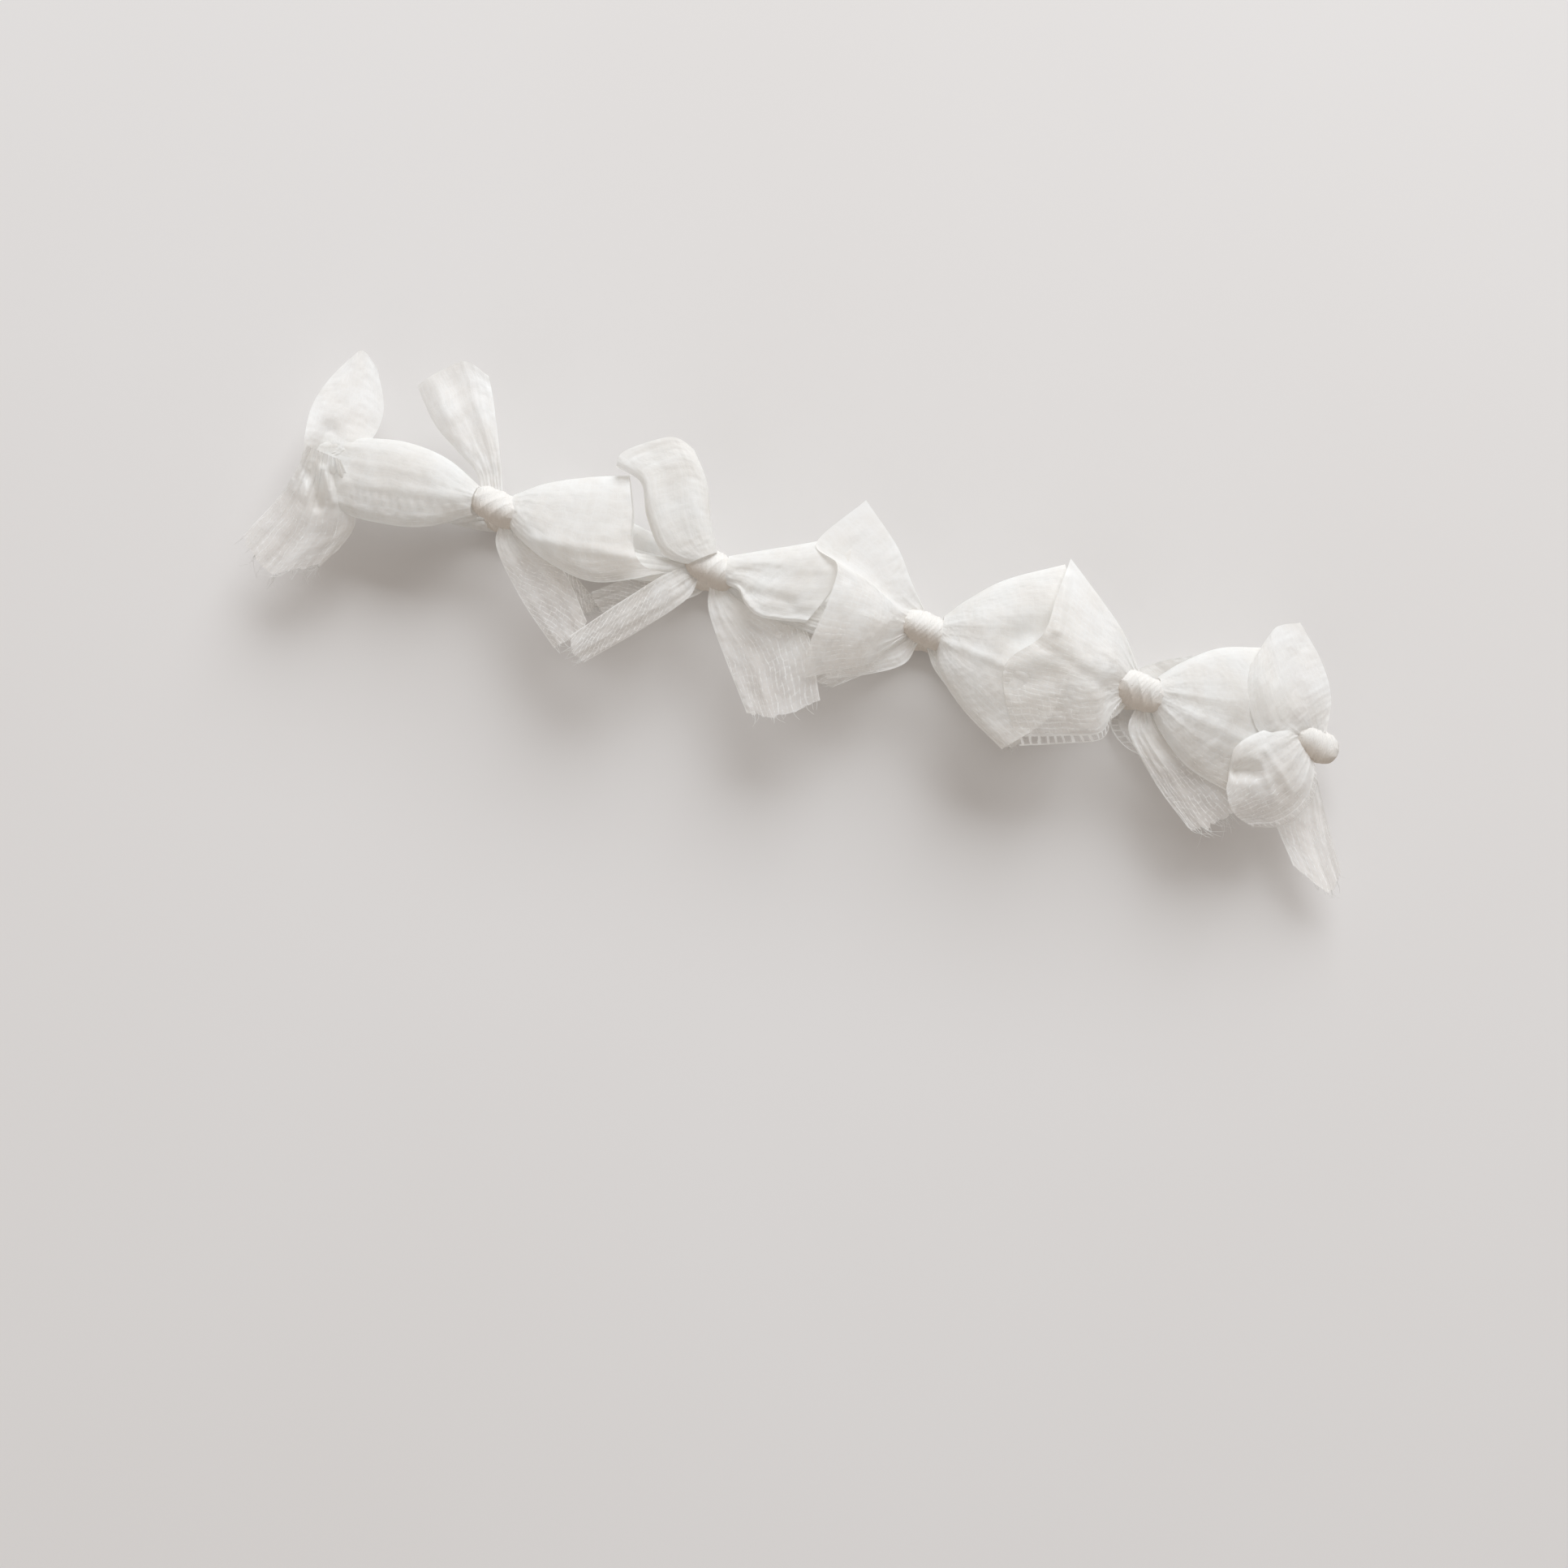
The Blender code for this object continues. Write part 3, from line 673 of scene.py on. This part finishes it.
def leno_gauze(name, looks):
    """Cotton leno gauze, loosely woven and soft. White threads about 1.1 mm apart show over a milky film
    of finer ones where one layer lies alone, and close up to matt cream where layers pile up."""
    paint, node = new_paint(name)
    warp_pitch, weft_pitch, ladder_pitch = (
        pitch / MM for pitch in (looks.warp_pitch, looks.weft_pitch, looks.ladder_pitch))
    uv = node("ShaderNodeUVMap", uv_map="weave")
    rim = node("ShaderNodeSeparateXYZ", node("ShaderNodeUVMap", uv_map="rim"))
    from_side, hemmed = rim.outputs[0], rim.outputs[1]
    ply = node("ShaderNodeAttribute", attribute_name="ply").outputs["Fac"]
    # The threads wander by up to about half a millimetre, in waves of about 6 mm.
    wander = node(NOISE, uv, links=(("Scale", 0.17), ("Detail", 2.5)))
    drift = node(VECTOR, wander.outputs["Color"], (0.5, 0.5, 0.5), operation="SUBTRACT")
    drift = node(VECTOR, drift, (2.4, 2.4, 0.0), operation="MULTIPLY")
    warped = node("ShaderNodeSeparateXYZ", node(VECTOR, uv, drift, operation="ADD"))
    across, along = warped.outputs[0], warped.outputs[1]
    warp = thread_lines(node, across, warp_pitch, 0.08, 0.22)
    weft = thread_lines(node, along, weft_pitch, 0.06, 0.22)
    fine = thread_lines(node, across, warp_pitch / 2.7, 0.12, 0.3)
    # Some threads are fatter than others, so their strength drifts slowly along and across.
    patches = node(NOISE, uv, links=(("Scale", 0.9), ("Detail", 2.0)))
    strength = node(RANGE, patches.outputs["Fac"], 0.3, 0.7, 0.6, 0.95, interpolation_type=SMOOTH)
    threads = node(MATH, warp, node(MATH, weft, 0.8, operation="MULTIPLY"), operation="MAXIMUM")
    threads = node(MATH, threads, strength, operation="MULTIPLY")
    threads = node(MATH, threads, node(MATH, fine, 0.3, operation="MULTIPLY"), operation="MAXIMUM")
    # The selvedge is a fat thread at the side, and on a ladder hem another one inside a row of rungs.
    side = node(RANGE, from_side, 0.12, 0.42, 0.92, 0.0, interpolation_type=SMOOTH)
    inner = node(MATH, from_side, LADDER_WIDTH, operation="SUBTRACT")
    inner = node(MATH, inner, operation="ABSOLUTE")
    rail = node(RANGE, inner, 0.1, 0.35, 0.9, 0.0, interpolation_type=SMOOTH)
    rungs = thread_lines(node, along, ladder_pitch, 0.1)
    in_hem = node(RANGE, from_side, LADDER_WIDTH - 0.1, LADDER_WIDTH, 1.0, 0.0, interpolation_type=SMOOTH)
    in_hem = node(MATH, in_hem, hemmed, operation="MULTIPLY")
    ladder = node(MATH, rail, node(MATH, rungs, in_hem, operation="MULTIPLY"), operation="MAXIMUM")
    ladder = node(MATH, ladder, hemmed, operation="MULTIPLY")
    selvedge = node(MATH, side, ladder, operation="MAXIMUM")
    # Film: how much the gaps between the threads cover, from one open layer to many.
    milky = node(RANGE, ply, 0.0, 0.85, looks.film, 0.95, interpolation_type=SMOOTH)
    kept = node(MATH, 1.0, node(MATH, in_hem, 0.75, operation="MULTIPLY"), operation="SUBTRACT")
    milky = node(MATH, milky, kept, operation="MULTIPLY")
    seen = node(MATH, threads, node(MATH, 1.0, in_hem, operation="SUBTRACT"), operation="MULTIPLY")
    seen = node(MATH, seen, selvedge, operation="MAXIMUM")
    cover = node(MATH, node(MATH, seen, 0.96, operation="MULTIPLY"), milky, operation="MAXIMUM",
                 use_clamp=True)
    # Threads are lighter than the gaps, more so in open net, and thick layers are lightest of all.
    mottle = node(NOISE, uv, links=(("Scale", 0.11), ("Detail", 4.0)))
    mottle = node(RANGE, mottle.outputs["Fac"], 0.3, 0.7, 0.1, 0.6, interpolation_type=SMOOTH)
    open_net = node(RANGE, ply, 0.3, 0.9, 0.5, 0.14, interpolation_type=SMOOTH)
    layers = node(RANGE, ply, 0.2, 0.9, -0.1, 0.35, interpolation_type=SMOOTH)
    tone = node(MATH, node(MATH, seen, open_net, operation="MULTIPLY"), mottle, operation="ADD")
    tone = node(MATH, tone, layers, operation="ADD", use_clamp=True)
    colour = node(MIX, tone, links=((6, linear(looks.shade)), (7, linear(looks.cream))),
                  data_type="RGBA").outputs[2]
    fibre = node(NOISE, uv, links=(("Scale", 2.6), ("Detail", 3.0))).outputs["Fac"]
    relief = node(MATH, node(MATH, seen, 0.8, operation="MULTIPLY"), fibre, operation="ADD")
    bump = node("ShaderNodeBump", links=(("Height", relief), ("Strength", 0.22), ("Distance", 0.15 * MM)))
    rough = node(RANGE, fibre, 0.2, 0.8, 0.8, 0.96, interpolation_type=SMOOTH)
    soft = soft_cloth(node, colour, rough, bump, 0.1, 0.1, 0.5, 0.4)
    gauze = node("ShaderNodeMixShader", cover, node("ShaderNodeBsdfTransparent"), soft)
    node("ShaderNodeOutputMaterial", gauze)
    return paint


def pulled_gauze(name, looks):
    """The same cotton gauze pulled tight in a knot: closed, smoother and a little brighter, with its
    threads packed side by side along the wraps. Its lower half carries a painted shade of warmer tan."""
    paint, node = new_paint(name)
    uv = node("ShaderNodeUVMap", uv_map="weave")
    grain = node(NOISE, uv, links=(("Scale", 0.5), ("Detail", 4.0))).outputs["Fac"]
    across = node("ShaderNodeSeparateXYZ", uv)
    bent = node(MATH, across, node(MATH, grain, 2.4, operation="MULTIPLY"), operation="ADD")
    threads = thread_lines(node, bent, 0.55, 0.15, 0.3)
    mottle = node(RANGE, grain, 0.3, 0.7, 0.2, 0.7, interpolation_type=SMOOTH)
    tone = node(MATH, node(MATH, threads, 0.3, operation="MULTIPLY"), mottle, operation="ADD",
                use_clamp=True)
    colour = node(MIX, tone, links=((6, linear(looks.shade)), (7, linear(looks.knot))),
                  data_type="RGBA").outputs[2]
    # Painted shade: where the knot's ply attribute falls to 0, on the lower half away from the lamp, the
    # colour is mixed towards a warmer tan.
    ply = node("ShaderNodeAttribute", attribute_name="ply").outputs["Fac"]
    colour = node(MIX, ply, links=((6, linear(looks.painted_shade)), (7, colour)), data_type="RGBA").outputs[2]
    relief = node(MATH, node(MATH, threads, 0.5, operation="MULTIPLY"), grain, operation="ADD")
    bump = node("ShaderNodeBump", links=(("Height", relief), ("Strength", 0.5), ("Distance", 0.2 * MM)))
    rough = node(RANGE, grain, 0.2, 0.8, 0.65, 0.88, interpolation_type=SMOOTH)
    soft = soft_cloth(node, colour, rough, bump, 0.06, 0.05, 0.4, 0.15)
    node("ShaderNodeOutputMaterial", soft)
    return paint


def painted_table(name):
    """A matt painted board: pale, with a faint drift of tone over a third of a metre."""
    paint, node = new_paint(name)
    place = node("ShaderNodeTexCoord").outputs["Object"]
    drift = node(NOISE, place, links=(("Scale", 3.0), ("Detail", 3.0))).outputs["Fac"]
    dark, light = (linear(code) for code in TABLE_COLOURS)
    colour = node(MIX, drift, links=((6, dark), (7, light)), data_type="RGBA").outputs[2]
    board = node("ShaderNodeBsdfPrincipled", colour,
                 links=(("Roughness", 0.85), ("Specular IOR Level", 0.2)))
    node("ShaderNodeOutputMaterial", board)
    return paint


PAINTS = {}


def paint_named(name):
    """A gauze, made the first time that it is asked for."""
    if name not in PAINTS:
        make = {"leno gauze": leno_gauze, "pulled gauze": pulled_gauze}[name]
        PAINTS[name] = make(name, bpy.context.scene.gauze_crown_looks)
    return PAINTS[name]


# ---------------------------------------------------------------- stage

def make_table():
    """A wide pale table at height 0."""
    mesh = bpy.data.meshes.new("table")
    corners = [(x * TABLE_SIDE, y * TABLE_SIDE, 0) for x, y in ((-1, -1), (1, -1), (1, 1), (-1, 1))]
    mesh.from_pydata(corners, [], [(0, 1, 2, 3)])
    mesh.materials.append(painted_table("matt painted table"))
    table = bpy.data.objects.new("table", mesh)
    bpy.context.scene.collection.objects.link(table)


def make_light():
    """A big soft lamp beyond the crown's upper edge, a weak fill and pale air. Each lamp's -Z points at
    the origin."""
    for name, spot, power, size in LAMPS:
        light = bpy.data.lights.new(name, "AREA")
        light.energy = power
        light.size = size
        light.color = linear(LAMP_COLOUR)[:3]
        lamp = bpy.data.objects.new(name, light)
        lamp.location = spot
        lamp.rotation_euler = (-Vector(spot)).to_track_quat("-Z", "Y").to_euler()
        bpy.context.scene.collection.objects.link(lamp)
    world = bpy.data.worlds.new("pale air")
    bpy.context.scene.world = world
    world.use_nodes = True
    air = world.node_tree.nodes["Background"]
    air.inputs[0].default_value = linear(AIR_COLOUR)
    air.inputs[1].default_value = AIR_STRENGTH


def make_camera():
    """Straight down on the table, rolled so that the front run falls to the right. It stands as high
    above the front run as its lens needs to see the view's width there."""
    data = bpy.data.cameras.new("camera")
    data.lens = LENS
    data.sensor_width = SENSOR
    camera = bpy.data.objects.new("camera", data)
    front = strip_frame(3)[0][2]
    camera.location = (*VIEW_MIDDLE, front + VIEW_WIDTH * LENS / SENSOR)
    camera.rotation_euler = (0.0, 0.0, VIEW_ROLL)
    bpy.context.scene.collection.objects.link(camera)
    bpy.context.scene.camera = camera
    bpy.context.scene.view_settings.view_transform = "Standard"


# ---------------------------------------------------------------- add-on

class GauzeCrownLooks(bpy.types.PropertyGroup):
    cream: bpy.props.StringProperty(name="Cream", description="Lit colour of the gauze, as sRGB hex",
                                    default="#F9F9F7")
    shade: bpy.props.StringProperty(name="Shade", description="Colour between its threads, as sRGB hex",
                                    default="#EFEAE3")
    knot: bpy.props.StringProperty(name="Knot", description="Lit colour of the knots, as sRGB hex",
                                   default="#EDEBE6")
    # Painted shade: the warm tan mixed into the knots' lower sides, which face away from the lamp.
    painted_shade: bpy.props.StringProperty(name="Deep", description="Colour under the knots, as sRGB hex",
                                   default="#E4DBD0")
    film: bpy.props.FloatProperty(name="Film", description="How much the gaps between threads cover",
                                  default=0.5, min=0.0, max=1.0, subtype="FACTOR")
    warp_pitch: bpy.props.FloatProperty(name="Warp pitch", description="Thread spacing across a ribbon",
                                        default=1.1 * MM, min=0.3 * MM, max=5 * MM, precision=5,
                                        unit="LENGTH")
    weft_pitch: bpy.props.FloatProperty(name="Weft pitch", description="Thread spacing along a ribbon",
                                        default=1.25 * MM, min=0.3 * MM, max=5 * MM, precision=5,
                                        unit="LENGTH")
    ladder_pitch: bpy.props.FloatProperty(name="Ladder pitch", description="Spacing of a hem's rungs",
                                          default=1.6 * MM, min=0.3 * MM, max=5 * MM, precision=5,
                                          unit="LENGTH")


class GAUZE_OT_stage(bpy.types.Operator):
    """Make the table, the lamps and the camera"""
    bl_idname = "gauze.stage"
    bl_label = "Stage"

    def execute(self, context):
        make_table()
        make_light()
        make_camera()
        return {"FINISHED"}


class GAUZE_OT_cores(bpy.types.Operator):
    """Make the roped middles of the ten strips"""
    bl_idname = "gauze.cores"
    bl_label = "Gathered cores"

    def execute(self, context):
        for number in range(1, COUNT + 1):
            gathered_core(number, 40 + number)
        return {"FINISHED"}


class GAUZE_OT_knots(bpy.types.Operator):
    """Make the ten wrapped knots"""
    bl_idname = "gauze.knots"
    bl_label = "Wrapped knots"

    def execute(self, context):
        for number in range(1, COUNT + 1):
            wrapped_knot(number, 0.9 * number)
        return {"FINISHED"}


class GAUZE_OT_flares(bpy.types.Operator):
    """Make the sheets that flare out from each strip's first knot"""
    bl_idname = "gauze.flares"
    bl_label = "Flares"

    def execute(self, context):
        make_sheets("flared_sheet")
        return {"FINISHED"}


class GAUZE_OT_ears(bpy.types.Operator):
    """Make the folded ears above each strip's second knot"""
    bl_idname = "gauze.ears"
    bl_label = "Ears"

    def execute(self, context):
        make_sheets("folded_ear")
        return {"FINISHED"}


class GAUZE_OT_drapes(bpy.types.Operator):
    """Make the net drapes below each strip's second knot"""
    bl_idname = "gauze.drapes"
    bl_label = "Drapes"

    def execute(self, context):
        make_sheets("net_drape")
        return {"FINISHED"}


class GAUZE_OT_tails(bpy.types.Operator):
    """Make the net tails below each strip's first knot"""
    bl_idname = "gauze.tails"
    bl_label = "Tails"

    def execute(self, context):
        make_sheets("net_tail")
        return {"FINISHED"}


OPERATORS = (GAUZE_OT_stage, GAUZE_OT_cores, GAUZE_OT_knots, GAUZE_OT_flares, GAUZE_OT_ears,
             GAUZE_OT_drapes, GAUZE_OT_tails)


class GAUZE_PT_panel(bpy.types.Panel):
    """Lists the crown's looks and pieces"""
    bl_idname = "GAUZE_PT_panel"
    bl_label = "Gauze Crown"
    bl_space_type = "VIEW_3D"
    bl_region_type = "UI"
    bl_category = "Gauze Crown"

    def draw(self, context):
        looks = context.scene.gauze_crown_looks
        for name in GauzeCrownLooks.__annotations__:
            self.layout.prop(looks, name)
        for step in OPERATORS:
            self.layout.operator(step.bl_idname)


CLASSES = (GauzeCrownLooks, *OPERATORS, GAUZE_PT_panel)


def register():
    for kind in CLASSES:
        bpy.utils.register_class(kind)
    bpy.types.Scene.gauze_crown_looks = bpy.props.PointerProperty(type=GauzeCrownLooks)


def unregister():
    del bpy.types.Scene.gauze_crown_looks
    for kind in reversed(CLASSES):
        bpy.utils.unregister_class(kind)


def main():
    register()
    for step in ("stage", "cores", "knots", "flares", "ears", "drapes", "tails"):
        getattr(bpy.ops.gauze, step)()


if __name__ == "__main__":
    main()
